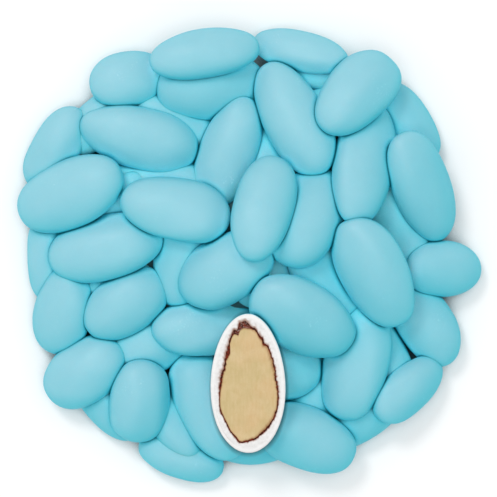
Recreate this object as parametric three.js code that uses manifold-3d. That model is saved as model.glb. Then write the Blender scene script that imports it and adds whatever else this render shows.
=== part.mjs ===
// A low heap of turquoise sugared almonds. One more, cut in half lengthwise, lies on it with its cut face up.
// Millimetres, +Z up, origin in the middle of the flat underside. +Y is the heap's far side.
import * as THREE from "three";
import { mergeVertices } from "three/addons/utils/BufferGeometryUtils.js";
import Module from "manifold-3d";

const wasm = await Module();
wasm.setup();

// Driving dimensions
const THICKNESS_SHARE = 0.64; // an almond's thickness, as a share of its width
const ROUNDNESS = 2.2; // exponent of the outline: 2 is an ellipse, more is fuller
const TIP = 0.04; // how much narrower an almond is towards its tip, where none is given
const SIDES = 12; // facets round an almond
const RINGS = 8; // facets along an almond
const HIDDEN_SIDES = 10; // the same for the lowest almonds, which are mostly covered
const HIDDEN_RINGS = 7;
const HIDDEN_COUNT = 24;

// How almonds press into what carries them: the lowest most, the top ones hardly.
const PRESS_LOW = 6;
const PRESS_TOP = 0.5;
const PRESS_SHARE = 1; // share of the almonds, from the lowest, over which it eases off
const MOST_PITCH = THREE.MathUtils.degToRad(18);
const MOST_ROLL = THREE.MathUtils.degToRad(15);

// The core that fills the heap's middle, a low dome into which the lowest almonds are bedded
const CORE_RADIUS = 46;
const CORE_HEIGHT = 15;
const CORE_EDGE = 2;
const CORE_SIDES = 32;
const CORE_STEPS = 5;
const BED_DEPTH = 8;

// The cut half: where the middle of its cut face lies, its size and its heading and tilt in degrees
const HALF_AT = [0.5, -39.1, 22.3];
const HALF_SIZE = [41.3, 21.7];
const HALF_DEPTH = 7.2;
const HALF_TURN = 90;
const HALF_PITCH = -12;
const HALF_ROLL = -6;
const HALF_ROUNDNESS = 2;
const HALF_TIP = 0.07;
const HALF_SIDES = 24;
const HALF_RINGS = 14;

// Inside the half: how far the kernel's uneven edge lies from the middle of the cut face, every 15 degrees
// from the narrow end round by +Y, its depth below the cut, and the brown skin round it.
const KERNEL_REACH = [
  16.5, 15.3, 10.9, 9.2, 8, 7.9, 7.9, 8.3, 9.4, 11.1, 12.8, 16.1,
  17.4, 15.2, 13.2, 11.4, 9.9, 8.9, 8.4, 8.3, 9, 10, 11.9, 14,
];
const KERNEL_DEPTH = 4.4;
const SKIN_THICKNESS = 0.4;
const LAYER_GAP = 0.2; // between the half's layers

// The almonds, lowest first, each laid on those before it: the middle, the size seen from above, the
// heading of the long axis in degrees from +X, and how far it narrows towards that end.
const ALMONDS = [
  { at: [-19, -61], size: [26, 13], turn: -18 },
  { at: [-40.5, -46], size: [25, 13.5], turn: -50 },
  { at: [45, 20], size: [26, 14], turn: 85 },
  { at: [24, 41], size: [26, 14], turn: 50 },
  { at: [-21, 37], size: [32.5, 15], turn: -30 },
  { at: [-42, 38.5], size: [28, 14], turn: 42 },
  { at: [-56, 29.5], size: [27, 14.5], turn: 60 },
  { at: [-58.5, -2.5], size: [26, 12], turn: 92 },
  { at: [-25.5, 20.5], size: [29, 15], turn: -8 },
  { at: [-39, 12.5], size: [26, 14], turn: 40 },
  { at: [-39, -10.5], size: [28, 15], turn: 8 },
  { at: [-19.5, -3.5], size: [27.5, 15.5], turn: 88 },
  { at: [-28.2, -28], size: [29, 17.5], turn: 20 },
  { at: [-21.5, -50.5], size: [26, 14], turn: -60 },
  { at: [45.5, 5], size: [30, 15.5], turn: -58 },
  { at: [47, 37.5], size: [27, 14], turn: -52 },
  { at: [6, 30], size: [27, 14], turn: 80 },
  { at: [9, -8.5], size: [27, 15], turn: 20 },
  { at: [24, -9.5], size: [30, 15.5], turn: -45 },
  { at: [40.4, -33], size: [28, 15.4], turn: 112 },
  { at: [20, -44], size: [26, 15], turn: 60 },
  { at: [34, -49.5], size: [26, 14], turn: 33 },
  { at: [3.5, -57], size: [26, 12.5], turn: 5 },
  { at: [22, 52.8], size: [26, 13], turn: -15 },
  { at: [-53.8, -18.2], size: [26, 17.2], turn: 77 },
  { at: [-34.2, 49.6], size: [23.5, 16.5], turn: 8 },
  { at: [-10.5, 47.5], size: [32, 20], turn: 5, tip: 0 },
  { at: [17.2, 9.2], size: [31, 21.3], turn: 65, tip: 0.08 },
  { at: [34.2, 24.8], size: [36.5, 18], turn: 260 },
  { at: [53, -22.6], size: [26.5, 17], turn: -58, tip: 0.07 },
  { at: [58, -6], size: [22, 16.4], turn: 0 },
  { at: [9.1, -35.1], size: [26.7, 19.5], turn: 1 },
  { at: [17.5, -55.5], size: [30.5, 18.5], turn: -22 },
  { at: [47.3, -41.3], size: [24.5, 13.5], turn: 42 },
  { at: [-47.3, -36.2], size: [26, 18.5], turn: 35 },
  { at: [-10.7, -46], size: [34.5, 19], turn: -65, tip: 0.03 },
  { at: [-11.6, -23.2], size: [32, 16.6], turn: 3, tip: 0.02 },
  { at: [16, 57.8], size: [28.3, 12], turn: -13 },
  { at: [-5.2, 28], size: [34.4, 17], turn: 68.5, tip: 0.03 },
  { at: [-12, 56.7], size: [32.3, 14.5], turn: 9, tip: 0.02 },
  { at: [13.9, 38], size: [36.3, 18.5], turn: 117, tip: 0.08 },
  { at: [51.3, 18], size: [33.5, 17.2], turn: -68, tip: 0.05 },
  { at: [-31.5, 32.4], size: [35.6, 18.4], turn: 166.5, tip: 0.13 },
  { at: [-35.2, -16.1], size: [27.2, 18.1], turn: 214, tip: 0.03 },
  { at: [-41, 0.3], size: [34, 19], turn: 13, tip: 0.03 },
  { at: [-51.3, 16.1], size: [33, 20], turn: 22 },
  { at: [-31.1, -44.5], size: [24.5, 17.8], turn: 80 },
  { at: [32.2, -33.6], size: [34.2, 19.1], turn: 75, tip: 0.02 },
  { at: [-5.9, -6.1], size: [29.5, 19.8], turn: 29, tip: 0.03 },
  { at: [16.3, -19.8], size: [33, 20.7], turn: -29, tip: 0.05 },
  { at: [-20.7, 11.6], size: [32.8, 18.4], turn: 167, tip: 0.1 },
  { at: [5, 11.6], size: [31.2, 17.6], turn: 256, tip: 0.05 },
  { at: [32, 45], size: [29.3, 19], turn: 227, tip: 0.12 },
  { at: [37.1, -6.9], size: [34.3, 19.5], turn: -63, tip: 0.07 },
];

// A signed power, for superellipses.
const power = (value, exponent) => Math.sign(value) * Math.abs(value) ** exponent;

// The point of an almond's surface, in the almond's own frame, that lies towards a unit vector.
// The almond lies along X, with its tip at +X.
function surfacePoint(unit, halves, tip, roundness = ROUNDNESS) {
  const ring = Math.hypot(unit.y, unit.z);
  const girth = ring > 0 ? ring ** (2 / roundness - 1) * (1 - tip * unit.x) : 0;
  return new THREE.Vector3(
    halves[0] * power(unit.x, 2 / roundness),
    halves[1] * unit.y * girth,
    halves[2] * unit.z * girth,
  );
}

// Unit vectors spread evenly over a sphere, towards which an almond is tested for contact.
function evenDirections(count) {
  const goldenAngle = Math.PI * (3 - Math.sqrt(5));
  return Array.from({ length: count }, (_, i) => {
    const z = 1 - (2 * i + 1) / count;
    const ring = Math.sqrt(1 - z * z);
    return new THREE.Vector3(ring * Math.cos(i * goldenAngle), ring * Math.sin(i * goldenAngle), z);
  });
}
const PROBES = evenDirections(240);

// The turn of an almond: the heading about Z, then the pitch, which lowers the tip, then the roll.
function turnOf(heading, pitch, roll) {
  return new THREE.Matrix4().makeRotationFromEuler(new THREE.Euler(roll, pitch, heading, "ZYX"));
}

// The quadratic form of the ellipsoid with these half sizes, whose value is 1 on its surface.
function formOf(halves, turn) {
  const axes = [0, 1, 2].map((k) => new THREE.Vector3().setFromMatrixColumn(turn, k).toArray());
  const entry = (i, j) => axes.reduce((sum, axis, k) => sum + (axis[i] * axis[j]) / halves[k] ** 2, 0);
  return [0, 1, 2].map((i) => [0, 1, 2].map((j) => entry(i, j)));
}

// Height of an almond's top over (x, y), or minus infinity beside it.
function topOf(almond, x, y) {
  const { centre, form } = almond;
  const dx = x - centre[0];
  const dy = y - centre[1];
  const slope = form[0][2] * dx + form[1][2] * dy;
  const rest = form[0][0] * dx * dx + 2 * form[0][1] * dx * dy + form[1][1] * dy * dy - 1;
  const root = slope * slope - form[2][2] * rest;
  return root < 0 ? -Infinity : centre[2] + (Math.sqrt(root) - slope) / form[2][2];
}

// Height of the core's domed top.
function coreTop(x, y) {
  const share = Math.hypot(x, y) / CORE_RADIUS;
  return share > 1 ? 0 : CORE_EDGE + (CORE_HEIGHT - CORE_EDGE) * (1 - share * share);
}

// Height of what carries an almond at (x, y): the table, the core or the almonds below.
function supportAt(x, y, placed) {
  let height = Math.max(0, coreTop(x, y) - BED_DEPTH);
  for (const almond of placed) height = Math.max(height, topOf(almond, x, y) - almond.press);
  return height;
}

// Half sizes of an almond that is seen with the given half sizes from above while it is tilted.
function tiltedHalves(seen, pitch, roll) {
  const thick = seen[1] * THICKNESS_SHARE;
  const untilted = (half, tilt) => Math.sqrt(half ** 2 - (thick * Math.sin(tilt)) ** 2) / Math.cos(tilt);
  return [untilted(seen[0], pitch), untilted(seen[1], roll), thick];
}

// The least clearance under one end or one side of an almond, and how far out it is.
function leastClearance(contacts, axis, side) {
  return contacts
    .filter(({ local }) => local[axis] > 0 === side)
    .reduce((least, contact) => (contact.clear < least.clear ? contact : least));
}

// Lays an almond on what is there, tilting it until both its ends and both its sides are carried.
function settle({ at, size, turn, tip = TIP }, placed, press) {
  const STEPS = 24;
  const EASE = 0.35;
  const LEAST_ARM = 3;
  const REACH = 40;
  const seen = size.map((length) => length / 2);
  const heading = THREE.MathUtils.degToRad(turn);
  const near = placed.filter(({ centre }) => Math.hypot(centre[0] - at[0], centre[1] - at[1]) < REACH);
  let pitch = 0;
  let roll = 0;
  for (let step = 0; ; step++) {
    const halves = tiltedHalves(seen, pitch, roll);
    const matrix = turnOf(heading, pitch, roll);
    const contacts = PROBES.map((unit) => {
      const local = surfacePoint(unit, halves, tip);
      const point = local.clone().applyMatrix4(matrix);
      return { local, clear: point.z - supportAt(at[0] + point.x, at[1] + point.y, near) };
    });
    if (step === STEPS) {
      const drop = Math.min(...contacts.map(({ clear }) => clear));
      return { centre: [...at, -drop], halves, tip, matrix, form: formOf(halves, matrix), press };
    }
    const front = leastClearance(contacts, "x", true);
    const back = leastClearance(contacts, "x", false);
    const left = leastClearance(contacts, "y", true);
    const right = leastClearance(contacts, "y", false);
    const lengthArm = Math.max(LEAST_ARM, front.local.x - back.local.x);
    const widthArm = Math.max(LEAST_ARM, left.local.y - right.local.y);
    pitch += EASE * Math.atan((front.clear - back.clear) / lengthArm);
    roll -= EASE * Math.atan((left.clear - right.clear) / widthArm);
    pitch = THREE.MathUtils.clamp(pitch, -MOST_PITCH, MOST_PITCH);
    roll = THREE.MathUtils.clamp(roll, -MOST_ROLL, MOST_ROLL);
  }
}

// Lays the whole heap, almond by almond.
function layHeap() {
  const placed = [];
  ALMONDS.forEach((almond, index) => {
    const ease = Math.min(1, index / (ALMONDS.length * PRESS_SHARE));
    placed.push(settle(almond, placed, PRESS_LOW + (PRESS_TOP - PRESS_LOW) * ease));
  });
  return placed;
}

// Moves each corner of a unit sphere to the point that the shape has in its direction.
function mapSphere(sphere, pointTowards) {
  const position = sphere.attributes.position;
  const unit = new THREE.Vector3();
  for (let i = 0; i < position.count; i++) {
    unit.fromBufferAttribute(position, i);
    position.setXYZ(i, ...pointTowards(unit));
  }
  return sphere;
}

// A closed almond along X, from a sphere with its poles at the almond's ends.
function almondGeometry(halves, tip, sides, rings, roundness = ROUNDNESS) {
  const sphere = new THREE.SphereGeometry(1, sides, rings).rotateZ(-Math.PI / 2);
  return mapSphere(sphere, (unit) => surfacePoint(unit, halves, tip, roundness));
}

// The low dome in the heap's middle.
function coreGeometry() {
  const profile = [new THREE.Vector2(0, 0)];
  for (let step = 0; step <= CORE_STEPS; step++) {
    const radius = CORE_RADIUS * (1 - step / CORE_STEPS);
    if (step === 0) profile.push(new THREE.Vector2(radius, 0));
    profile.push(new THREE.Vector2(radius, coreTop(radius, 0)));
  }
  return new THREE.LatheGeometry(profile, CORE_SIDES).rotateX(Math.PI / 2);
}

// The block of space above or below a height, as a cutter.
function halfSpace(height, above) {
  const SIZE = 200;
  return new THREE.BoxGeometry(SIZE, SIZE, SIZE).translate(0, 0, height + (above ? SIZE / 2 : -SIZE / 2));
}

// A closed geometry as a solid for cutting and joining.
function solidOf(geometry) {
  const bare = geometry.clone();
  bare.deleteAttribute("normal");
  bare.deleteAttribute("uv");
  const merged = mergeVertices(bare, 1e-4);
  const corners = [];
  const index = merged.index.array;
  for (let i = 0; i < index.length; i += 3) {
    const [a, b, c] = index.slice(i, i + 3);
    if (a !== b && b !== c && c !== a) corners.push(a, b, c);
  }
  const mesh = new wasm.Mesh({
    numProp: 3,
    vertProperties: new Float32Array(merged.attributes.position.array),
    triVerts: new Uint32Array(corners),
  });
  return new wasm.Manifold(mesh);
}

function geometryOf(solid) {
  const mesh = solid.getMesh();
  return new THREE.BufferGeometry()
    .setAttribute("position", new THREE.BufferAttribute(mesh.vertProperties, 3))
    .setIndex(new THREE.BufferAttribute(mesh.triVerts, 1));
}

// All the almonds joined with the core. Hollows that the joining shuts are filled.
function heapGeometry() {
  let heap = solidOf(coreGeometry());
  layHeap().forEach(({ centre, halves, tip, matrix }, index) => {
    const hidden = index < HIDDEN_COUNT;
    const sides = hidden ? HIDDEN_SIDES : SIDES;
    const rings = hidden ? HIDDEN_RINGS : RINGS;
    const geometry = almondGeometry(halves, tip, sides, rings);
    heap = heap.add(solidOf(geometry.applyMatrix4(matrix).translate(...centre)));
  });
  heap = heap.subtract(solidOf(halfSpace(0, false)));
  const parts = heap.decompose();
  return geometryOf(parts.reduce((most, part) => (part.volume() > most.volume() ? part : most)));
}

// How far the kernel reaches towards an angle in the plane of the cut.
function kernelReach(angle) {
  const count = KERNEL_REACH.length;
  const place = ((angle / (2 * Math.PI) + 1) % 1) * count;
  const before = Math.floor(place) % count;
  return THREE.MathUtils.lerp(KERNEL_REACH[before], KERNEL_REACH[(before + 1) % count], place % 1);
}

// The kernel's form, as much larger all round as given, from a sphere with a ring of corners in the cut.
function kernelSolid(extra) {
  const sphere = new THREE.SphereGeometry(1, HALF_SIDES, HALF_RINGS).rotateX(Math.PI / 2);
  const layer = mapSphere(sphere, (unit) => {
    const reach = kernelReach(Math.atan2(unit.y, unit.x)) + extra;
    return new THREE.Vector3(reach * unit.x, reach * unit.y, (KERNEL_DEPTH + extra) * unit.z);
  });
  return solidOf(layer);
}

// The cut half: sugar coat, brown skin and kernel, one inside the other, all cut at its own Z = 0.
function cutHalf() {
  const halves = [HALF_SIZE[0] / 2, HALF_SIZE[1] / 2, HALF_DEPTH];
  const outside = solidOf(almondGeometry(halves, HALF_TIP, HALF_SIDES, HALF_RINGS, HALF_ROUNDNESS));
  const skinInside = LAYER_GAP;
  const skinOutside = skinInside + SKIN_THICKNESS;
  const coatInside = skinOutside + LAYER_GAP;
  const aboveCut = solidOf(halfSpace(0, true));
  const layers = {
    half_coat: outside.subtract(kernelSolid(coatInside)),
    half_skin: kernelSolid(skinOutside).subtract(kernelSolid(skinInside)),
    half_kernel: kernelSolid(0),
  };
  const looks = {
    half_coat: new THREE.MeshStandardMaterial({ color: "#ece9e6", roughness: 0.7, metalness: 0 }),
    half_skin: new THREE.MeshStandardMaterial({ color: "#6b3a26", roughness: 0.8, metalness: 0 }),
    half_kernel: new THREE.MeshStandardMaterial({ color: "#d5bb8c", roughness: 0.7, metalness: 0 }),
  };
  const half = new THREE.Group();
  for (const [name, solid] of Object.entries(layers)) {
    const mesh = new THREE.Mesh(geometryOf(solid.subtract(aboveCut)), looks[name]);
    mesh.name = name;
    half.add(mesh);
  }
  half.position.set(...HALF_AT);
  half.rotation.set(
    THREE.MathUtils.degToRad(HALF_ROLL),
    THREE.MathUtils.degToRad(HALF_PITCH),
    THREE.MathUtils.degToRad(HALF_TURN),
    "ZYX",
  );
  return half;
}

const sugar = new THREE.MeshStandardMaterial({ color: "#8fd2e2", roughness: 0.5, metalness: 0 });
const heap = new THREE.Mesh(heapGeometry(), sugar);
heap.name = "almond_heap";

const group = new THREE.Group();
group.add(heap, cutHalf());

export default group;
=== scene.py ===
"""A low heap of turquoise sugared almonds, with one more cut in half lengthwise lying on it."""
import math
import bpy
import numpy as np
from mathutils import Euler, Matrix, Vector


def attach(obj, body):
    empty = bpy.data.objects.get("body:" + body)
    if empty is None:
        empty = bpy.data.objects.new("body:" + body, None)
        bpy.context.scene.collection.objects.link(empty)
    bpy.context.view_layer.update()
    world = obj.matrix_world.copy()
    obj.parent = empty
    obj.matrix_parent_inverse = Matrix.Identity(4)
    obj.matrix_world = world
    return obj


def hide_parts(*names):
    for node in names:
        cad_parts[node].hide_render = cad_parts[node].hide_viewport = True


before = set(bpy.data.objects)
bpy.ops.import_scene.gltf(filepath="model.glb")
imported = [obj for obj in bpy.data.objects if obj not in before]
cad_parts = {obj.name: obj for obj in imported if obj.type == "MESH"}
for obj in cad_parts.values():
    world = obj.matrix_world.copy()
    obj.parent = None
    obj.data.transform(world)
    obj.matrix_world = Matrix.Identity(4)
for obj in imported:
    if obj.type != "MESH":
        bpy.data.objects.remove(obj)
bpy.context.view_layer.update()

MM = 0.001
FULL_TURN = 2 * math.pi
HASH_FACTORS = (12.9898, 78.233, 37.719)
HASH_SCALE = 43758.5453
PHASES = 6.28  # about a full turn: the range of a wave's phase

# The heap, in millimetres: the same values as the solids are made from
THICKNESS_SHARE = 0.64  # an almond's thickness, as a share of its width
ROUNDNESS = 2.2  # exponent of the outline: 2 is an ellipse, more is fuller
TIP = 0.04  # how much narrower an almond is towards its tip, where none is given
PRESS_LOW = 6.0  # how far the lowest almond presses into what carries it
PRESS_TOP = 0.5  # the same for the top ones
PRESS_SHARE = 1.0  # share of the almonds, from the lowest, over which it eases off
MOST_PITCH = math.radians(18)
MOST_ROLL = math.radians(15)
CORE_RADIUS = 46.0
CORE_HEIGHT = 15.0
CORE_EDGE = 2.0
BED_DEPTH = 8.0  # how deep the almonds lie in the core

# The finer meshes: the almonds with their swells, and the core as a lumpy dome inside the solid's
ALMOND_SIDES, ALMOND_RINGS = 44, 30
SWELLS, SWELL_HEIGHT, FEWEST_WAVES, MORE_WAVES = 7, 0.09, 1.5, 3.5
DOME_SIDES, DOME_RINGS, DOME_RADIUS = 64, 18, 43.0
DOME_SUNK, DOME_LUMPS, DOME_LEAST = 2.5, 0.9, 0.3
DOME_WAVES = (0.42, 0.5)

# The cut half: the middle of its cut face, its size, and its heading and tilt in degrees
HALF_AT = (0.5, -39.1, 22.3)
HALF_SIZE = (41.3, 21.7)
HALF_DEPTH = 7.2
HALF_TURN = 90.0
HALF_PITCH = -12.0
HALF_ROLL = -6.0
HALF_ROUNDNESS = 2.0
HALF_TIP = 0.07
# The cut half's painted shadow on the almonds' coating: its shift, width and taper
SHADOW_SHIFT = (0.3, -0.45)  # of the soft shadow round it
SHADOW_WIDTH = 0.08  # share of the half's width and length
SHADOW_TAPER = 0.08  # how much narrower it is at the half's far end, and wider at the near one
HALF_COLUMNS = 360  # columns of points round it
SHELL_RINGS = 18
HALF_BULGE = math.radians(-3)  # it is widest a little below the cut
OUTLINE_RAGGED, OUTLINE_WAVES = 0.0009, (3, 5, 8, 13)  # share of its size, and waves round it

# How far the kernel's uneven edge lies from the middle of the cut face, every 15 degrees from the narrow
# end round by +Y. Its corners, the wider places of the skin and all other places round it are given as
# their angle, their spread in degrees and what they add.
KERNEL_REACH = (
    16.5, 15.3, 10.9, 9.2, 8.0, 7.9, 7.9, 8.3, 9.4, 11.1, 12.8, 15.7,
    17.0, 15.2, 13.2, 11.4, 9.9, 8.9, 8.4, 8.3, 9.0, 10.0, 11.9, 14.0,
)
KERNEL_DEPTH = 4.4
KERNEL_CORNERS = (
    (172.7, 3.5, 0.7), (11, 2.5, -1.2), (-8.5, 3.5, 0.6), (-21, 3, -0.75), (-28, 2.5, 0.2), (31, 5, -0.45),
    (38, 3, -0.3), (48, 6, -0.4), (59, 4, -0.3), (83, 20, -0.4), (-76, 30, -0.22), (-162, 16, -0.22),
    (183, 4, -0.2),
)
KERNEL_RAGGED = 0.022
RAGGED_PLACES = ((30, 35, 0.06), (-35, 25, 0.06), (-80, 30, 0.04), (-150, 20, 0.045), (178, 10, 0.03))
SKIN_WIDTH = 0.40
SKIN_RAGGED = 0.055
SKIN_LEAST = 0.14
TORN_WIDTH, TORN_RAGGED = 0.7, 0.12  # where the skin is wider than this, its edge is torn
SKIN_PATCHES = (
    (1, 4, 1.1), (8, 6, 1.4), (15, 3, 0.3), (23, 4, 0.3), (29, 4, 0.7), (36, 5, 0.8), (45, 4, 0.25),
    (62, 6, 0.2), (82, 12, 0.22), (98, 5, 0.2), (122, 9, -0.22), (170, 4, 0.3), (184, 5, 0.15),
    (200, 11, 0.22), (222, 8, 0.05), (-9, 4, 0.15), (-19, 4, 0.65),
)
CRUMBLY_PLACES = ((6, 8, 1.0),)
STAIN_PLACES = ((25, 30, 0.6), (-8, 15, 0.4), (75, 20, 0.3), (-70, 40, 0.15))
SKIN_SUNK = 0.06  # how far the skin lies below the cut
LAYER_GAP = 0.01
STAIN_REACH = 0.22  # how far the skin stains the sugar
KERNEL_STAIN_REACH = 0.25
KERNEL_STAIN_PLACES = ((-40, 30, 0.5), (-155, 20, 0.4))

# The cut sugar: it stands a little proud, falls off at its outer edge and dips towards the skin. Part of
# the way round it has a shallow ledge, darker along it, and a paler band runs along its outer edge.
SUGAR_PROUD, OUTER_FALL, INNER_FALL, FALL_SPREAD = 0.05, 0.35, 0.10, 0.3
OUTER_EDGE_HEIGHT, INNER_EDGE_HEIGHT = -0.3, -0.1
SUGAR_GRAIN = 0.10
LEDGE_AT, LEDGE_SPREAD, LEDGE_DEPTH, LEDGE_DARKENING = 1.1, 0.16, 0.22, 0.3
LEDGE_PLACES = ((157, 9, 1.0), (140, 9, 0.5), (100, 10, 0.3))
PALE_AT, PALE_SPREAD, PALE_MOST = 0.75, 0.5, 0.75

# The relief of the cut, as layers of noise with their height, size and seed. The sugar's heights are
# shares of its grain, and the stretch draws the kernel's streaks out along it.
SUGAR_RELIEF = ((0.5, 1.1, 1), (0.35, 0.5, 2), (0.25, 0.27, 3))
SKIN_RELIEF = ((0.10, 0.35, 12),)
KERNEL_SWELLS = ((0.10, 5.0, 7), (0.05, 1.6, 8))
KERNEL_STREAKS, STREAK_STRETCH = ((0.035, 0.45, 9),), 0.18
KERNEL_GRAIN = ((0.02, 0.3, 10),)
CRUMBS_FROM, CRUMBS_OVER = 0.6, 0.4  # the skin's width where its crumbs begin, and how fast they thicken

# The coating's colours, and the scales of its noises, per metre
COATING_DARK, COATING_LIGHT = (0.245, 0.553, 0.645, 1), (0.265, 0.573, 0.665, 1)
CLOUD_COLOUR, CLOUD_SCALE = (0.295, 0.598, 0.689, 1), 160.0
FLECK_COLOUR, FLECK_SCALE, FLECK_PATCH_SCALE = (0.50, 0.75, 0.83, 1), 1700.0, 85.0

# Painted shade and painted light in the coating's colour, by place. It is multiplied by each painted shade
# where the measure is at the low end of its range, and left alone at the high end: painted shade, darker
# and richer, on sides turned from the main light, on steep sides, where almonds touch and in thin lines
# between them, and painted light that makes it lighter low in the heap. The reaches are in metres.
# The main light's direction, and the direction in which the painted shade looks for what hides the main
# light
KEY_SIDE, FACING_RANGE = (-0.26, 0.42, 0.87), (0.08, 1.0)
KEY_SKY, CLEAR_RANGE = (-0.30, 0.48, 0.825), (0.32, 0.82)
KEY_SKY_REACH, OPEN_REACH, CONTACT_REACH, LINE_REACH = 0.015, 0.012, 0.0019, 0.0009
PAINTED_COATING_SHADES = (
    # the measure, the low and high end of its range, and the painted shade (below 1) or painted light
    # (above 1) that multiplies the colour where the measure is low
    ("lit", 0.0, 1.0, (0.30, 0.97, 1.0, 1)),
    ("up", 0.05, 0.62, (0.64, 0.80, 0.85, 1)),
    ("open", 0.28, 0.70, (2.40, 1.49, 1.41, 1)),
    ("open", 0.10, 0.45, (1.35, 1.12, 1.12, 1)),
    ("contact", 0.45, 1.0, (0.45, 0.97, 1.0, 1)),
    ("contact", 0.32, 0.74, (0.32, 0.57, 0.61, 1)),
    ("line", 0.30, 0.75, (0.10, 0.27, 0.31, 1)),
)
# Painted shadow on the coating, beside and under the cut half
PAINTED_HALF_SHADOW = (0.42, 0.40, 0.40, 1)  # beside and under the cut half

# The stage, in metres and watts
FLOOR_REACH = 3.0
GAP_REACH = 0.012
# Painted shade on the table:
PAINTED_GAP_SHADE = (0.004, 0.055, 0.065, 1)  # of the table where almonds close it in
KEY_AT, KEY_SIZE, KEY_WATTS = (-1.0, 1.6, 2.4), 0.9, 23.7
OVERHEAD_AT, OVERHEAD_SIZE, OVERHEAD_WATTS = (0.0, -0.1, 2.6), 2.0, 19
WORLD_STRENGTH = 0.69
CAMERA_DISTANCE, AIM_HEIGHT, EYE_ASIDE = 1.0, 0.015, 0.0007
SEEN_WIDTH = 0.1445
SENSOR_WIDTH = 36.0

# The almonds, lowest first: middle x and y, length and width seen from above, heading, and tip if given
ALMONDS = [
    (-19, -61, 26, 13, -18),
    (-40.5, -46, 25, 13.5, -50),
    (45, 20, 26, 14, 85),
    (24, 41, 26, 14, 50),
    (-21, 37, 32.5, 15, -30),
    (-42, 38.5, 28, 14, 42),
    (-56, 29.5, 27, 14.5, 60),
    (-58.5, -2.5, 26, 12, 92),
    (-25.5, 20.5, 29, 15, -8),
    (-39, 12.5, 26, 14, 40),
    (-39, -10.5, 28, 15, 8),
    (-19.5, -3.5, 27.5, 15.5, 88),
    (-28.2, -28, 29, 17.5, 20),
    (-21.5, -50.5, 26, 14, -60),
    (45.5, 5, 30, 15.5, -58),
    (47, 37.5, 27, 14, -52),
    (6, 30, 27, 14, 80),
    (9, -8.5, 27, 15, 20),
    (24, -9.5, 30, 15.5, -45),
    (40.4, -33, 28, 15.4, 112),
    (20, -44, 26, 15, 60),
    (34, -49.5, 26, 14, 33),
    (3.5, -57, 26, 12.5, 5),
    (22, 52.8, 26, 13, -15),
    (-53.8, -18.2, 26, 17.2, 77),
    (-34.2, 49.6, 23.5, 16.5, 8),
    (-10.5, 47.5, 32, 20, 5, 0),
    (17.2, 9.2, 31, 21.3, 65, 0.08),
    (34.2, 24.8, 36.5, 18, 260),
    (53, -22.6, 26.5, 17, -58, 0.07),
    (58, -6, 22, 16.4, 0),
    (9.1, -35.1, 26.7, 19.5, 1),
    (17.5, -55.5, 30.5, 18.5, -22),
    (47.3, -41.3, 24.5, 13.5, 42),
    (-47.3, -36.2, 26, 18.5, 35),
    (-10.7, -46, 34.5, 19, -65, 0.03),
    (-11.6, -23.2, 32, 16.6, 3, 0.02),
    (16, 57.8, 28.3, 12, -13),
    (-5.2, 28, 34.4, 17, 68.5, 0.03),
    (-12, 56.7, 32.3, 14.5, 9, 0.02),
    (13.9, 38, 36.3, 18.5, 117, 0.08),
    (51.3, 18, 33.5, 17.2, -68, 0.05),
    (-31.5, 32.4, 35.6, 18.4, 166.5, 0.13),
    (-35.2, -16.1, 27.2, 18.1, 214, 0.03),
    (-41, 0.3, 34, 19, 13, 0.03),
    (-51.3, 16.1, 33, 20, 22),
    (-31.1, -44.5, 24.5, 17.8, 80),
    (32.2, -33.6, 34.2, 19.1, 75, 0.02),
    (-5.9, -6.1, 29.5, 19.8, 29, 0.03),
    (16.3, -19.8, 33, 20.7, -29, 0.05),
    (-20.7, 11.6, 32.8, 18.4, 167, 0.1),
    (5, 11.6, 31.2, 17.6, 256, 0.05),
    (32, 45, 29.3, 19, 227, 0.12),
    (37.1, -6.9, 34.3, 19.5, -63, 0.07),
]


def power(value, exponent):
    """A signed power, for superellipses."""
    return np.sign(value) * np.abs(value) ** exponent


def surface_points(units, halves, tip, roundness=ROUNDNESS):
    """Points of an almond's surface, in its own frame with the tip at +X, towards unit vectors."""
    ring = np.hypot(units[:, 1], units[:, 2])
    girth = np.where(ring > 0, np.maximum(ring, 1e-12) ** (2 / roundness - 1), 0) * (1 - tip * units[:, 0])
    return np.stack(
        [
            halves[0] * power(units[:, 0], 2 / roundness),
            halves[1] * units[:, 1] * girth,
            halves[2] * units[:, 2] * girth,
        ],
        axis=1,
    )


def even_directions(count):
    """Unit vectors spread evenly over a sphere."""
    index = np.arange(count)
    golden_angle = math.pi * (3 - math.sqrt(5))
    z = 1 - (2 * index + 1) / count
    ring = np.sqrt(1 - z * z)
    return np.stack([ring * np.cos(index * golden_angle), ring * np.sin(index * golden_angle), z], axis=1)


PROBES = even_directions(240)


def turn_of(heading, pitch, roll):
    """The turn of an almond: the heading about Z, then the pitch, which lowers the tip, then the roll."""
    return np.array(Euler((roll, pitch, heading), "XYZ").to_matrix())


def top_of(almond, x, y):
    """Height of an almond's top over (x, y), far below everything beside it."""
    form = almond["form"]
    dx = x - almond["centre"][0]
    dy = y - almond["centre"][1]
    slope = form[0, 2] * dx + form[1, 2] * dy
    rest = form[0, 0] * dx * dx + 2 * form[0, 1] * dx * dy + form[1, 1] * dy * dy - 1
    root = slope * slope - form[2, 2] * rest
    height = almond["centre"][2] + (np.sqrt(np.maximum(root, 0)) - slope) / form[2, 2]
    return np.where(root < 0, -1e9, height)


def core_top(x, y):
    """Height of the core's domed top."""
    share = np.hypot(x, y) / CORE_RADIUS
    return np.where(share > 1, 0, CORE_EDGE + (CORE_HEIGHT - CORE_EDGE) * (1 - share * share))


def support_at(x, y, placed):
    """Height of what carries an almond at (x, y): the table, the core or the almonds below."""
    height = np.maximum(0, core_top(x, y) - BED_DEPTH)
    for almond in placed:
        height = np.maximum(height, top_of(almond, x, y) - almond["press"])
    return height


def least_clearance(local, clear, axis, positive):
    """The least clearance under one end or one side of an almond, and how far out it is."""
    inside = np.where((local[:, axis] > 0) == positive)[0]
    least = inside[np.argmin(clear[inside])]
    return clear[least], local[least, axis]


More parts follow.
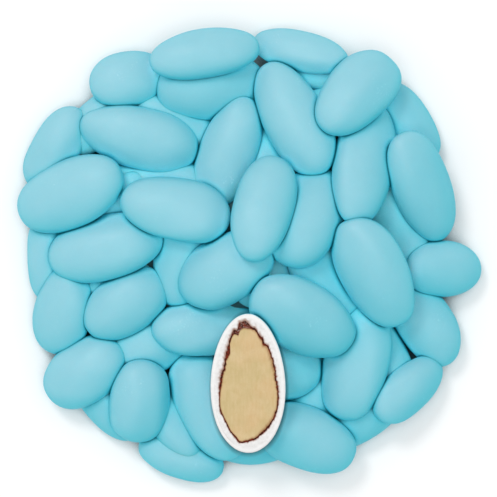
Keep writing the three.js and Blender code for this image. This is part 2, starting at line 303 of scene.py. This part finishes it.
def settle(row, placed, press):
    """Lays an almond on what is there, tilting it until both its ends and both its sides are carried."""
    steps, ease, least_arm, reach = 24, 0.35, 3.0, 40.0
    x, y, length, width, heading = row[:5]
    tip = row[5] if len(row) > 5 else TIP
    seen = (length / 2, width / 2)
    thick = seen[1] * THICKNESS_SHARE
    near = [a for a in placed if math.hypot(a["centre"][0] - x, a["centre"][1] - y) < reach]
    pitch = roll = 0.0
    for step in range(steps + 1):
        halves = np.array([
            math.sqrt(seen[0] ** 2 - (thick * math.sin(pitch)) ** 2) / math.cos(pitch),
            math.sqrt(seen[1] ** 2 - (thick * math.sin(roll)) ** 2) / math.cos(roll),
            thick,
        ])
        turn = turn_of(math.radians(heading), pitch, roll)
        local = surface_points(PROBES, halves, tip)
        points = local @ turn.T
        clear = points[:, 2] - support_at(x + points[:, 0], y + points[:, 1], near)
        if step == steps:
            break
        front, front_arm = least_clearance(local, clear, 0, True)
        back, back_arm = least_clearance(local, clear, 0, False)
        left, left_arm = least_clearance(local, clear, 1, True)
        right, right_arm = least_clearance(local, clear, 1, False)
        pitch += ease * math.atan((front - back) / max(least_arm, front_arm - back_arm))
        roll -= ease * math.atan((left - right) / max(least_arm, left_arm - right_arm))
        pitch = min(MOST_PITCH, max(-MOST_PITCH, pitch))
        roll = min(MOST_ROLL, max(-MOST_ROLL, roll))
    form = turn @ np.diag(1 / halves**2) @ turn.T
    centre = np.array([x, y, -clear.min()])
    return {"centre": centre, "halves": halves, "tip": tip, "turn": turn, "form": form, "press": press}


def lay_heap():
    """Lays the whole heap, almond by almond."""
    placed = []
    for index, row in enumerate(ALMONDS):
        ease = min(1, index / (len(ALMONDS) * PRESS_SHARE))
        placed.append(settle(row, placed, PRESS_LOW + (PRESS_TOP - PRESS_LOW) * ease))
    return placed


def hash_unit(*seeds):
    """A repeatable number from 0 to 1 for these seeds."""
    value = math.sin(sum(seed * factor for seed, factor in zip(seeds, HASH_FACTORS))) * HASH_SCALE
    return value - math.floor(value)


def sphere_grid(sides, rings):
    """Unit vectors of a globe with its poles on X, and its faces."""
    units = [(1.0, 0.0, 0.0)]
    for i in range(1, rings):
        along = math.pi * i / rings
        out = math.sin(along)
        for j in range(sides):
            around = FULL_TURN * j / sides
            units.append((math.cos(along), out * math.cos(around), out * math.sin(around)))
    units.append((-1.0, 0.0, 0.0))
    last = len(units) - 1
    faces = [(0, 1 + j, 1 + (j + 1) % sides) for j in range(sides)]
    for i in range(rings - 2):
        a, b = 1 + i * sides, 1 + (i + 1) * sides
        faces += [(a + j, b + j, b + (j + 1) % sides, a + (j + 1) % sides) for j in range(sides)]
    a = 1 + (rings - 2) * sides
    faces += [(a + j, last, a + (j + 1) % sides) for j in range(sides)]
    return np.array(units), faces


def uneven(units, seed):
    """Small swells and hollows of an almond's surface, in millimetres, towards unit vectors."""
    swell = np.zeros(len(units))
    for k in range(SWELLS):
        direction = np.array([hash_unit(seed, k, axis) - 0.5 for axis in (1, 2, 3)])
        direction /= np.linalg.norm(direction) + 1e-6
        waves = FEWEST_WAVES + MORE_WAVES * hash_unit(seed, k, 4)
        phase = PHASES * hash_unit(seed, k, 5)
        swell += math.cos(k) * SWELL_HEIGHT * np.sin(waves * (units @ direction) * math.pi / 2 + phase)
    return swell


def mesh_object(name, points, faces, materials):
    """A smooth mesh object from points in millimetres, riding on the part."""
    mesh = bpy.data.meshes.new(name)
    mesh.from_pydata([tuple(p) for p in np.asarray(points) * MM], [], faces)
    mesh.validate()
    mesh.polygons.foreach_set("use_smooth", [True] * len(mesh.polygons))
    for material in materials:
        mesh.materials.append(material)
    mesh.update()
    piece = bpy.data.objects.new(name, mesh)
    bpy.context.scene.collection.objects.link(piece)
    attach(piece, "root")
    return piece


def point_values(piece, name, values):
    """Gives each point of a piece's mesh a number that its material can read."""
    attribute = piece.data.attributes.new(name, "FLOAT", "POINT")
    attribute.data.foreach_set("value", values)


def almond_pile(placed):
    """Every almond of the heap, as one joined mesh, with a tint for each."""
    units, faces = sphere_grid(ALMOND_SIDES, ALMOND_RINGS)
    points, all_faces, tints = [], [], []
    for index, almond in enumerate(placed):
        local = surface_points(units, almond["halves"], almond["tip"])
        normal = local / (almond["halves"] ** 2)
        normal /= np.linalg.norm(normal, axis=1, keepdims=True)
        local = local + normal * uneven(units, index + 1)[:, None]
        base = len(units) * index
        points.append(local @ almond["turn"].T + almond["centre"])
        all_faces += [tuple(base + corner for corner in face) for face in faces]
        tints += [hash_unit(index, 9, 1)] * len(units)
    points = np.concatenate(points)
    points[:, 2] = np.maximum(points[:, 2], 0)
    piece = mesh_object("sugared_almonds", points, all_faces, [coating_material(True)])
    point_values(piece, "tint", tints)
    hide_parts("almond_heap")


# Materials

def new_material(name):
    """A node material with a Principled shader, and a helper that adds nodes to it."""
    material = bpy.data.materials.new(name)
    material.use_nodes = True
    tree = material.node_tree
    shader = tree.nodes["Principled BSDF"]

    def add(kind, inputs=None, **settings):
        node = tree.nodes.new(kind)
        for key, value in settings.items():
            setattr(node, key, value)
        for key, value in (inputs or {}).items():
            if isinstance(value, bpy.types.NodeSocket):
                tree.links.new(value, node.inputs[key])
            else:
                node.inputs[key].default_value = value
        return node

    def link(output, socket):
        tree.links.new(output, socket)

    return material, shader, add, link


def colour_mix(add, factor, first, second, blend="MIX"):
    """A colour mix node's result."""
    node = add("ShaderNodeMix", data_type="RGBA", blend_type=blend)
    for socket, value in ((node.inputs[0], factor), (node.inputs[6], first), (node.inputs[7], second)):
        if isinstance(value, bpy.types.NodeSocket):
            node.id_data.links.new(value, socket)
        else:
            socket.default_value = value
    return node.outputs[2]


def noise(add, scale, detail=3.0, roughness=0.5):
    """A noise texture in object space."""
    coordinates = add("ShaderNodeTexCoord")
    return add(
        "ShaderNodeTexNoise",
        {"Vector": coordinates.outputs["Object"], "Scale": scale, "Detail": detail, "Roughness": roughness},
    ).outputs["Fac"]


def ramp(add, factor, low, high, start=0.0, end=1.0):
    """A value remapped from a range, clamped."""
    return add(
        "ShaderNodeMapRange",
        {"Value": factor, "From Min": low, "From Max": high, "To Min": start, "To Max": end},
    ).outputs["Result"]


def crevice(add, reach, towards=None):
    """From 0 deep between touching things to 1 in the open, within this reach in metres."""
    inputs = {"Distance": reach}
    if towards is not None:
        inputs["Normal"] = add("ShaderNodeCombineXYZ", dict(zip("XYZ", towards))).outputs[0]
    return add("ShaderNodeAmbientOcclusion", inputs, samples=8).outputs["AO"]


def paint_shade(add, base, shade, mask):
    """Paints shade or light into a colour: multiplies it by a shade where the mask is 0, and leaves it
    alone where it is 1.
    """
    return colour_mix(add, mask, colour_mix(add, 1.0, base, shade, "MULTIPLY"), base)


def surface(add, link, shader, base, rough, bump):
    """Gives a shader its colour, an uneven roughness (the scale of its noise, its least and its most) and a
    bump (the scale, detail and fineness of its noise, its strength and its height in metres)."""
    scale, least, most = rough
    link(base, shader.inputs["Base Color"])
    link(ramp(add, noise(add, scale), 0.3, 0.7, least, most), shader.inputs["Roughness"])
    scale, detail, fineness, strength, height = bump
    relief = noise(add, scale, detail, fineness)
    node = add("ShaderNodeBump", {"Height": relief, "Strength": strength, "Distance": height})
    link(node.outputs[0], shader.inputs["Normal"])


def painted_half_shadow(add):
    """The mask of the cut half's painted shadow: from 0 beside and under the cut half to 1 a little away
    from it, at any height.
    """
    any_height = 1e3
    place = add("ShaderNodeTexCoord").outputs["Object"]
    middle = [value * MM for value in (HALF_AT[0] + SHADOW_SHIFT[0], HALF_AT[1] + SHADOW_SHIFT[1], 0)]
    lying = HALF_SIZE[0] * math.cos(math.radians(HALF_PITCH))
    reach = [HALF_SIZE[1] / 2 * MM, lying / 2 * MM, any_height]
    aside = add("ShaderNodeVectorMath", {0: place, 1: middle}, operation="SUBTRACT").outputs[0]
    scaled = add("ShaderNodeVectorMath", {0: aside, 1: reach}, operation="DIVIDE").outputs[0]
    parts = add("ShaderNodeSeparateXYZ", {"Vector": scaled})
    wider = ramp(add, parts.outputs["Y"], -1, 1, 1 - SHADOW_TAPER, 1 + SHADOW_TAPER)
    across = add("ShaderNodeMath", {0: parts.outputs["X"], 1: wider}, operation="MULTIPLY").outputs[0]
    tapered = add("ShaderNodeCombineXYZ", {"X": across, "Y": parts.outputs["Y"]}).outputs[0]
    away = add("ShaderNodeVectorMath", {0: tapered}, operation="LENGTH").outputs["Value"]
    return ramp(add, away, 1.0, 1.0 + SHADOW_WIDTH)


def painted_shade_measures(add):
    """What the coating's painted shade and painted light go by: how well the main light reaches a place,
    how level it is, how open it lies, and how far it is from what it touches."""
    normal = add("ShaderNodeNewGeometry").outputs["Normal"]
    facing = add("ShaderNodeVectorMath", {0: normal, 1: KEY_SIDE}, operation="DOT_PRODUCT").outputs["Value"]
    clear = crevice(add, KEY_SKY_REACH, KEY_SKY)
    factors = {0: ramp(add, facing, *FACING_RANGE), 1: ramp(add, clear, *CLEAR_RANGE)}
    return {
        "lit": add("ShaderNodeMath", factors, operation="MULTIPLY").outputs[0],
        "up": add("ShaderNodeSeparateXYZ", {"Vector": normal}).outputs["Z"],
        "open": crevice(add, OPEN_REACH),
        "contact": crevice(add, CONTACT_REACH),
        "line": crevice(add, LINE_REACH),
    }


def coating_material(with_painted_half_shadow):
    """Satin turquoise sugar coating, a little mottled, with fine pale grains, and painted shade and painted
    light in its colour: darker and richer on steep sides, on sides turned from the main light, where
    almonds touch and in lines between them, lighter low in the heap, and with a painted shadow beside and
    under the cut half if asked.
    """
    material, shader, add, link = new_material("turquoise_sugar_coating")
    tint = add("ShaderNodeAttribute", attribute_name="tint").outputs["Fac"]
    base = colour_mix(add, tint, COATING_DARK, COATING_LIGHT)
    cloud = ramp(add, noise(add, CLOUD_SCALE), 0.35, 0.7, 0.0, 0.35)
    base = colour_mix(add, cloud, base, CLOUD_COLOUR)
    grain = ramp(add, noise(add, FLECK_SCALE, 2.0, 0.6), 0.60, 0.72, 0.0, 0.55)
    patch = ramp(add, noise(add, FLECK_PATCH_SCALE, 2.0), 0.60, 0.72, 0.12, 1.0)
    fleck = add("ShaderNodeMath", {0: grain, 1: patch}, operation="MULTIPLY").outputs[0]
    base = colour_mix(add, fleck, base, FLECK_COLOUR)
    measures = painted_shade_measures(add)
    # painted shade and painted light, one row of the table at a time
    for name, low, high, shade in PAINTED_COATING_SHADES:
        base = paint_shade(add, base, shade, ramp(add, measures[name], low, high))
    if with_painted_half_shadow:
        # the cut half's painted shadow
        base = paint_shade(add, base, PAINTED_HALF_SHADOW, painted_half_shadow(add))
    link(base, shader.inputs["Base Color"])
    link(ramp(add, noise(add, 420.0, 4.0), 0.3, 0.7, 0.40, 0.54), shader.inputs["Roughness"])
    shader.inputs["Specular IOR Level"].default_value = 0.45
    shader.inputs["Sheen Weight"].default_value = 0.3
    shader.inputs["Sheen Roughness"].default_value = 0.5
    shader.inputs["Sheen Tint"].default_value = (0.0, 0.62, 0.78, 1)
    shader.inputs["Subsurface Weight"].default_value = 0.3
    shader.inputs["Subsurface Radius"].default_value = (0.25, 1.0, 1.25)
    shader.inputs["Subsurface Scale"].default_value = 0.001
    shader.inputs["IOR"].default_value = 1.5
    fine = add("ShaderNodeBump", {"Height": noise(add, 2600.0, 2.0), "Strength": 0.05, "Distance": 0.0001})
    peel = add(
        "ShaderNodeBump",
        {"Height": noise(add, 520.0, 3.0), "Strength": 0.12, "Distance": 0.0004, "Normal": fine.outputs[0]},
    )
    link(peel.outputs[0], shader.inputs["Normal"])
    return material


def core_material():
    """The heap's inside, coloured a near-black teal as painted shade deep between the almonds."""
    material, shader, add, link = new_material("heap_inside_painted_shade")
    base = colour_mix(add, noise(add, 200.0), (0.010, 0.075, 0.085, 1), (0.020, 0.120, 0.135, 1))
    surface(add, link, shader, base, (420.0, 0.6, 0.75), (500.0, 3.0, 0.5, 0.3, 0.0005))
    return material


def stained(add, base, colour):
    """A colour stained towards the almond's skin, as far as the mesh's stain attribute says."""
    stain = add("ShaderNodeAttribute", attribute_name="stain").outputs["Fac"]
    return colour_mix(add, stain, base, colour_mix(add, 1.0, base, colour, "MULTIPLY"))


def sugar_material():
    """The white sugar of the coat where it is cut: grainy, matt, stained beside the skin."""
    material, shader, add, link = new_material("cut_sugar")
    cloud = ramp(add, noise(add, 900.0, 5.0, 0.65), 0.32, 0.62)
    base = colour_mix(add, cloud, (0.715, 0.703, 0.690, 1), (0.835, 0.827, 0.818, 1))
    speck = ramp(add, noise(add, 2400.0, 3.0, 0.6), 0.58, 0.72, 0.0, 0.4)
    base = colour_mix(add, speck, base, (0.63, 0.61, 0.59, 1))
    pale = add("ShaderNodeAttribute", attribute_name="pale").outputs["Fac"]
    base = colour_mix(add, pale, base, (0.875, 0.872, 0.862, 1))
    base = stained(add, base, (0.46, 0.27, 0.20, 1))
    surface(add, link, shader, base, (1400.0, 0.6, 0.8), (1900.0, 5.0, 0.7, 0.5, 0.0003))
    return material


def skin_material():
    """Almond skin where it is cut: dark red brown, with greyish crumbs where it is wide."""
    material, shader, add, link = new_material("almond_skin")
    shades = ramp(add, noise(add, 1300.0, 4.0), 0.40, 0.62)
    base = colour_mix(add, shades, (0.036, 0.006, 0.002, 1), (0.17, 0.022, 0.007, 1))
    wide = add("ShaderNodeAttribute", attribute_name="crumb").outputs["Fac"]
    spots = ramp(add, noise(add, 2600.0, 3.0, 0.6), 0.52, 0.60)
    crumb = add("ShaderNodeMath", {0: spots, 1: wide}, operation="MULTIPLY").outputs[0]
    crumb_colour = colour_mix(add, noise(add, 1500.0), (0.20, 0.10, 0.08, 1), (0.50, 0.38, 0.34, 1))
    base = colour_mix(add, crumb, base, crumb_colour)
    shader.inputs["Specular IOR Level"].default_value = 0.15
    surface(add, link, shader, base, (1500.0, 0.55, 0.8), (1800.0, 4.0, 0.5, 0.6, 0.0003))
    return material


def kernel_material():
    """The kernel's cut flesh: cream, here warmer and there greener, with fine grain along it."""
    material, shader, add, link = new_material("almond_kernel")
    cloud = ramp(add, noise(add, 120.0, 2.0), 0.38, 0.60)
    base = colour_mix(add, cloud, (0.548, 0.418, 0.190, 1), (0.612, 0.422, 0.200, 1))
    pale = ramp(add, noise(add, 210.0, 3.0), 0.48, 0.68, 0.0, 0.5)
    base = colour_mix(add, pale, base, (0.645, 0.495, 0.272, 1))
    place = add("ShaderNodeTexCoord").outputs["Object"]
    along = add("ShaderNodeMapping", {"Vector": place, "Scale": (1.0, 0.12, 1.0)}).outputs[0]
    streak = add("ShaderNodeTexNoise", {"Vector": along, "Scale": 1500.0, "Detail": 4.0}).outputs["Fac"]
    base = colour_mix(add, ramp(add, streak, 0.35, 0.7, 0.0, 0.35), base, (0.70, 0.545, 0.315, 1))
    speck = ramp(add, noise(add, 2200.0, 3.0), 0.5, 0.75, 0.0, 0.35)
    base = colour_mix(add, speck, base, (0.54, 0.38, 0.19, 1))
    base = stained(add, base, (0.56, 0.38, 0.28, 1))
    surface(add, link, shader, base, (900.0, 0.5, 0.7), (1600.0, 4.0, 0.5, 0.25, 0.0002))
    return material


def core_piece():
    """The core that fills the heap's middle, a lumpy dome a little smaller than the solid's."""
    sides = DOME_SIDES
    points = [(0.0, 0.0, 0.0)]
    for i in range(DOME_RINGS + 1):
        for j in range(sides):
            around = FULL_TURN * j / sides
            radius = DOME_RADIUS * (1 - i / (DOME_RINGS + 1))
            x, y = radius * math.cos(around), radius * math.sin(around)
            lump = DOME_LUMPS * math.sin(x * DOME_WAVES[0]) * math.sin(y * DOME_WAVES[1] + 1)
            height = 0.0 if i == 0 else max(DOME_LEAST, float(core_top(x, y)) - DOME_SUNK + lump)
            points.append((x, y, height))
    points.append((0.0, 0.0, CORE_HEIGHT - DOME_SUNK))
    faces = [(0, 1 + (j + 1) % sides, 1 + j) for j in range(sides)]
    for i in range(DOME_RINGS):
        a, b = 1 + i * sides, 1 + (i + 1) * sides
        faces += [(a + j, a + (j + 1) % sides, b + (j + 1) % sides, b + j) for j in range(sides)]
    a = 1 + DOME_RINGS * sides
    faces += [(a + j, a + (j + 1) % sides, len(points) - 1) for j in range(sides)]
    piece = mesh_object("heap_core", points, faces, [core_material()])


# The cut half

def half_matrix():
    """The turn of the half's own frame, with X towards its narrow end and Z out of the cut face."""
    turn = Euler((math.radians(HALF_ROLL), math.radians(HALF_PITCH), math.radians(HALF_TURN)), "XYZ")
    return np.array(turn.to_matrix())


def place_half(points):
    """Points of the half's own frame, brought to its place on the heap."""
    return np.asarray(points) @ half_matrix().T + np.array(HALF_AT)


def kernel_reach(angle):
    """How far the kernel reaches towards angles in the cut, smooth between the given places."""
    count = len(KERNEL_REACH)
    place = (np.asarray(angle) / FULL_TURN * count) % count
    before = np.floor(place).astype(int)
    part = place % 1
    reach = np.array(KERNEL_REACH)
    a, b, c, d = (reach[(before + step) % count] for step in (-1, 0, 1, 2))
    bend = (2 * a - 5 * b + 4 * c - d) * part**2 + (3 * b - a - 3 * c + d) * part**3
    return b + 0.5 * ((c - a) * part + bend)


def jagged(angle, seed, size, waves=(17, 26, 37, 53, 71, 97, 131)):
    """A ragged offset round an outline, in millimetres."""
    total = 0.0
    for k, wave in enumerate(waves):
        total = total + np.sin(wave * angle + PHASES * hash_unit(seed, k, 2)) / (1 + 0.25 * k)
    return size * total


def bumps_round(angle, bumps):
    """The sum of single bumps round an outline, each with its angle, spread in degrees and size."""
    total = 0.0
    for middle, spread, size in bumps:
        away = (np.degrees(angle) - middle + 180) % 360 - 180
        total = total + size * np.exp(-((away / spread) ** 2))
    return total


def kernel_edge(angle):
    """The kernel's ragged edge in the cut: how far it reaches towards each angle."""
    ragged = KERNEL_RAGGED + bumps_round(angle, RAGGED_PLACES)
    return kernel_reach(angle) + bumps_round(angle, KERNEL_CORNERS) + jagged(angle, 11, ragged)


def skin_width(angle):
    """Width of the brown skin line towards angles in the plane of the cut."""
    width = SKIN_WIDTH + jagged(angle, 5, SKIN_RAGGED) + bumps_round(angle, SKIN_PATCHES)
    return np.maximum(width + TORN_RAGGED * jagged(angle, 6, 1.0) * (width > TORN_WIDTH), SKIN_LEAST)


def value_noise(x, y, size, seed):
    """Smooth noise from -1 to 1 over a plane, with bumps of about the given size."""
    x, y = np.asarray(x) / size, np.asarray(y) / size
    column, row = np.floor(x), np.floor(y)
    fx, fy = x - column, y - row
    fx, fy = fx * fx * (3 - 2 * fx), fy * fy * (3 - 2 * fy)

    def corner(i, j):
        value = np.sin((column + i) * 127.1 + (row + j) * 311.7 + seed * 74.7) * HASH_SCALE
        return 2 * (value - np.floor(value)) - 1

    low = corner(0, 0) * (1 - fx) + corner(1, 0) * fx
    high = corner(0, 1) * (1 - fx) + corner(1, 1) * fx
    return low * (1 - fy) + high * fy


def layered_noise(x, y, layers):
    """The sum of noises over a plane, each with its height, size and seed."""
    return sum(height * value_noise(x, y, size, seed) for height, size, seed in layers)


def half_outline():
    """The coat's outline in the cut, one point a column, and each column's angle."""
    around = FULL_TURN * np.arange(HALF_COLUMNS) / HALF_COLUMNS
    units = np.stack([np.cos(around), np.sin(around), np.zeros(HALF_COLUMNS)], axis=1)
    halves = np.array([HALF_SIZE[0] / 2, HALF_SIZE[1] / 2, HALF_DEPTH])
    edge = surface_points(units, halves, HALF_TIP, HALF_ROUNDNESS)
    edge[:, :2] *= (1 + jagged(around, 8, OUTLINE_RAGGED, OUTLINE_WAVES))[:, None]
    return edge, np.arctan2(edge[:, 1], edge[:, 0])


def bowl_rows(edge, depth, rings, start=0.0):
    """Rows of points from an edge in the cut down to the lowest point. With a start below 0, in radians,
    the rows first grow a little wider."""
    rows = []
    for i in range(rings):
        down = start + (math.pi / 2 - start) * i / rings
        row = edge * math.cos(down) / math.cos(start)
        fall = (math.sin(down) - math.sin(start)) / (1 - math.sin(start))
        row[:, 2] = edge[:, 2] * (1 - fall) - depth * fall
        rows.append(row)
    return rows, np.array([[0.0, 0.0, -depth]])


def rim(angles, reach, height=0.0):
    """A ring of points in the cut at these distances from the middle."""
    return np.stack([reach * np.cos(angles), reach * np.sin(angles), np.full(len(angles), height)], axis=1)


def band_faces(starts):
    """Faces between rings of points, each ring starting at the given corner."""
    faces = []
    for a, b in zip(starts, starts[1:]):
        for j in range(HALF_COLUMNS):
            k = (j + 1) % HALF_COLUMNS
            faces.append((a + j, b + j, b + k, a + k))
    return faces


def fan_faces(start, middle):
    """Faces from the last ring of points to one point in its middle."""
    return [(start + j, middle, start + (j + 1) % HALF_COLUMNS) for j in range(HALF_COLUMNS)]


def flipped(faces):
    """The same faces, turned to look the other way."""
    return [face[::-1] for face in faces]


def shell(edge_out, depth_out, across, edge_in, depth_in, start=0.0):
    """A bowl-shaped shell between two edges, with rows of points across its cut: points and faces."""
    rings, n = SHELL_RINGS, HALF_COLUMNS
    outer, outer_low = bowl_rows(edge_out, depth_out, rings, start)
    inner, inner_low = bowl_rows(edge_in, depth_in, rings)
    points = np.concatenate(outer + [outer_low] + across + inner + [inner_low])
    face_start = rings * n + 1
    inner_start = face_start + len(across) * n
    outside = band_faces([i * n for i in range(rings)]) + fan_faces((rings - 1) * n, rings * n)
    cut = band_faces([0] + [face_start + i * n for i in range(len(across))] + [inner_start])
    inner_starts = [inner_start + i * n for i in range(rings)]
    inside = band_faces(inner_starts) + fan_faces(inner_starts[-1], inner_start + rings * n)
    return points, outside, flipped(cut) + flipped(inside)


def half_coat():
    """The coat of the cut half: turquoise outside, white sugar where it is cut and inside."""
    face_rows = 14
    edge, angles = half_outline()
    inner_reach = kernel_edge(angles) + skin_width(angles)
    inner_edge = rim(angles, inner_reach, INNER_EDGE_HEIGHT)
    width = np.hypot(*(edge - inner_edge)[:, :2].T)
    stain_reach = STAIN_REACH + bumps_round(angles, STAIN_PLACES)
    ledge_share = bumps_round(angles, LEDGE_PLACES)
    across, stains, pales = [], [], []
    for i in range(1, face_rows):
        share = i / face_rows
        row = edge * (1 - share) + inner_edge * share
        from_edge, from_skin = share * width, (1 - share) * width
        row[:, 2] = SUGAR_PROUD - OUTER_FALL * np.exp(-from_edge / FALL_SPREAD)
        row[:, 2] -= INNER_FALL * np.exp(-((from_skin / FALL_SPREAD) ** 2))
        row[:, 2] += SUGAR_GRAIN * layered_noise(row[:, 0], row[:, 1], SUGAR_RELIEF)
        ledge = np.exp(-(((from_edge - LEDGE_AT) / LEDGE_SPREAD) ** 2)) * ledge_share
        row[:, 2] -= LEDGE_DEPTH * ledge
        across.append(row)
        uneven_reach = stain_reach * (1 + 0.5 * value_noise(row[:, 0], row[:, 1], 0.6, 4))
        # the stain beside the skin, and the sugar darker along the ledge
        stains.append(np.maximum(np.exp(-((from_skin / uneven_reach) ** 2)), LEDGE_DARKENING * ledge))
        pales.append(PALE_MOST * np.exp(-(((from_edge - PALE_AT) / PALE_SPREAD) ** 2)))
    edge[:, 2] = OUTER_EDGE_HEIGHT
    points, outside, rest = shell(
        edge, HALF_DEPTH, across, inner_edge, KERNEL_DEPTH + SKIN_WIDTH, HALF_BULGE
    )
    materials = [coating_material(False), sugar_material()]
    piece = mesh_object("cut_half_coat", place_half(points), outside + rest, materials)
    piece.data.polygons.foreach_set("material_index", [0] * len(outside) + [1] * len(rest))
    point_values(piece, "tint", [0.5] * len(points))
    outer_count = SHELL_RINGS * HALF_COLUMNS + 1
    inner_count = len(points) - outer_count - len(stains) * HALF_COLUMNS
    for name, rows, inside in (("stain", stains, 1.0), ("pale", pales, 0.0)):
        values = [np.zeros(outer_count)] + rows + [np.full(inner_count, inside)]
        point_values(piece, name, np.concatenate(values))
    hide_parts("half_coat")


def half_skin():
    """The skin between coat and kernel, its cut edge a little sunk and crumbly where it is wide."""
    face_rows = 6
    angles = half_outline()[1]
    kernel = kernel_edge(angles)
    width = skin_width(angles)
    edge_in = rim(angles, kernel + LAYER_GAP, -SKIN_SUNK)
    edge_out = rim(angles, kernel + width - LAYER_GAP, -SKIN_SUNK)
    across = []
    for i in range(1, face_rows):
        row = edge_out + (edge_in - edge_out) * (i / face_rows)
        row[:, 2] += layered_noise(row[:, 0], row[:, 1], SKIN_RELIEF)
        across.append(row)
    depth_out, depth_in = KERNEL_DEPTH + SKIN_WIDTH - LAYER_GAP, KERNEL_DEPTH + LAYER_GAP
    points, outside, rest = shell(edge_out, depth_out, across, edge_in, depth_in)
    piece = mesh_object("cut_half_skin", place_half(points), outside + rest, [skin_material()])
    crumbs = np.clip((width - CRUMBS_FROM) / CRUMBS_OVER, 0, 1) * bumps_round(angles, CRUMBLY_PLACES)
    rings = (len(points) - 2) // HALF_COLUMNS
    values = np.resize(crumbs, rings * HALF_COLUMNS)
    outer_count = SHELL_RINGS * HALF_COLUMNS
    point_values(piece, "crumb", np.concatenate([values[:outer_count], [0], values[outer_count:], [0]]))
    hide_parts("half_skin")


def cut_solid(name, reach, angles, depth, relief, material, stain_reach):
    """A bowl-shaped solid with this edge in the cut, closed by a face with relief and a stained rim."""
    rings, face_rows, n = 10, 34, HALF_COLUMNS
    edge = rim(angles, reach)
    edge[:, 2] = relief(edge[:, 0], edge[:, 1])
    rows, low = bowl_rows(edge, depth, rings)
    face, stains = [], [np.ones(rings * n + 1)]
    for i in range(1, face_rows):
        share = (i / face_rows) ** 1.4
        row = edge * (1 - share)
        row[:, 2] = relief(row[:, 0], row[:, 1])
        face.append(row)
        stains.append(np.exp(-((share * reach / stain_reach) ** 2)))
    middle = np.array([[0.0, 0.0, float(relief(0.0, 0.0))]])
    points = np.concatenate(rows + [low] + face + [middle])
    face_starts = [0] + [rings * n + 1 + i * n for i in range(len(face))]
    under = band_faces([i * n for i in range(rings)]) + fan_faces((rings - 1) * n, rings * n)
    top = band_faces(face_starts) + fan_faces(face_starts[-1], len(points) - 1)
    piece = mesh_object(name, place_half(points), under + flipped(top), [material])
    point_values(piece, "stain", np.concatenate(stains + [[0.0]]))
    return piece


def half_kernel():
    """The kernel: nearly flat where it is cut, with faint grain along it and a nibbled edge."""
    angles = half_outline()[1]
    reach = kernel_edge(angles)

    def relief(x, y):
        streaks = layered_noise(np.asarray(x) * STREAK_STRETCH, y, KERNEL_STREAKS)
        return layered_noise(x, y, KERNEL_SWELLS) + streaks + layered_noise(x, y, KERNEL_GRAIN)

    stain_reach = KERNEL_STAIN_REACH + bumps_round(angles, KERNEL_STAIN_PLACES)
    material = kernel_material()
    piece = cut_solid("cut_half_kernel", reach, angles, KERNEL_DEPTH, relief, material, stain_reach)
    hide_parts("half_kernel")


# Stage

def floor_piece():
    """A pale table top, far wider than the heap, with painted shade where almonds close it in."""
    mesh = bpy.data.meshes.new("table_top")
    corners = [(x * FLOOR_REACH, y * FLOOR_REACH, 0) for x, y in ((-1, -1), (1, -1), (1, 1), (-1, 1))]
    mesh.from_pydata(corners, [], [(0, 1, 2, 3)])
    floor = bpy.data.objects.new("table_top", mesh)
    bpy.context.scene.collection.objects.link(floor)
    material, shader, add, link = new_material("pale_table")
    base = colour_mix(add, noise(add, 3.0), (0.93, 0.93, 0.93, 1), (0.95, 0.95, 0.95, 1))
    # painted shade on the table where almonds close it in
    base = colour_mix(add, ramp(add, crevice(add, GAP_REACH), 0.15, 0.55), PAINTED_GAP_SHADE, base)
    link(base, shader.inputs["Base Color"])
    shader.inputs["Roughness"].default_value = 0.9
    mesh.materials.append(material)


def area_light(name, place, size, watts):
    """A round light that looks at the heap."""
    data = bpy.data.lights.new(name, "AREA")
    data.shape = "DISK"
    data.size = size
    data.energy = watts
    light = bpy.data.objects.new(name, data)
    light.location = place
    light.rotation_euler = (Vector((0, 0, 0)) - Vector(place)).to_track_quat("-Z", "Y").to_euler()
    bpy.context.scene.collection.objects.link(light)


def lights():
    """A main light from the upper left, a broad one overhead and an even white surround."""
    area_light("key", KEY_AT, KEY_SIZE, KEY_WATTS)
    area_light("overhead", OVERHEAD_AT, OVERHEAD_SIZE, OVERHEAD_WATTS)
    world = bpy.data.worlds.new("studio")
    world.use_nodes = True
    background = world.node_tree.nodes["Background"]
    background.inputs["Color"].default_value = (1, 1, 1, 1)
    background.inputs["Strength"].default_value = WORLD_STRENGTH
    bpy.context.scene.world = world


def camera():
    """Straight above the heap, far enough off for the photograph's near lack of perspective."""
    data = bpy.data.cameras.new("camera")
    data.sensor_width = SENSOR_WIDTH
    data.lens = SENSOR_WIDTH * CAMERA_DISTANCE / SEEN_WIDTH
    data.clip_start = 0.01
    eye = bpy.data.objects.new("camera", data)
    eye.location = (EYE_ASIDE, 0.0, CAMERA_DISTANCE + AIM_HEIGHT)
    bpy.context.scene.collection.objects.link(eye)
    bpy.context.scene.camera = eye


almond_pile(lay_heap())
core_piece()
half_coat()
half_skin()
half_kernel()
floor_piece()
lights()
camera()
bpy.context.scene.view_settings.view_transform = "Standard"
